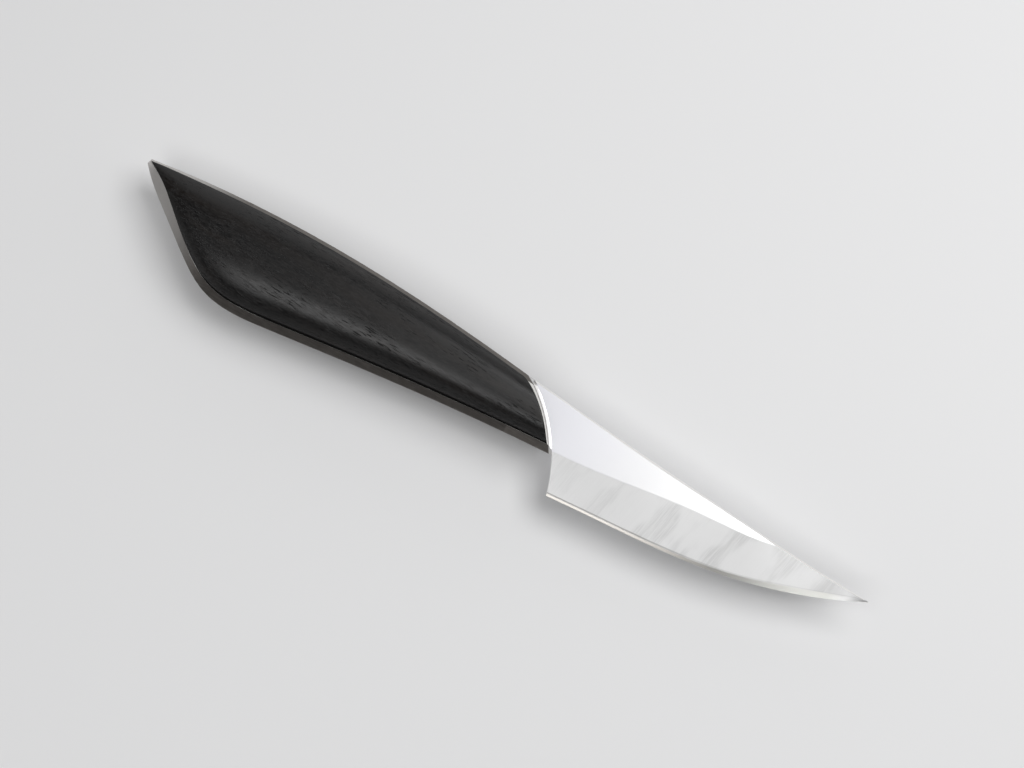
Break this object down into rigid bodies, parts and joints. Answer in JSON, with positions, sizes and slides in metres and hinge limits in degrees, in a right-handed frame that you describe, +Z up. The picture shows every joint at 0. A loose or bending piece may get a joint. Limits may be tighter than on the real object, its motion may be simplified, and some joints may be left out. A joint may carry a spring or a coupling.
{
  "type": "boning knife",
  "caption": "Short fixed-blade kitchen knife with a slanted-heel blade and a full-tang dark wood handle, for trimming meat and fish off the bone.",
  "frame": {"origin": "middle of the footprint, on the surface that the knife lies on", "axes": "+X along the knife from butt to tip, +Y from the cutting edge to the spine, +Z up, out of the knife's right side"},
  "size_m": [0.2053, 0.0274, 0.0175],
  "materials": {
    "steel": "satin ground blade, hand-rubbed tang edge",
    "ebony": "oiled and hand polished, fine open pores",
    "black_fibre": "matt vulcanised fibre",
    "pin_steel": "turned"
  },
  "bodies": {
    "root": {"blade": "steel", "right_scale": "ebony", "left_scale": "ebony", "right_liner": "black_fibre", "left_liner": "black_fibre", "front_pin": "pin_steel", "middle_pin": "pin_steel", "rear_pin": "pin_steel"}
  },
  "joints": []
}
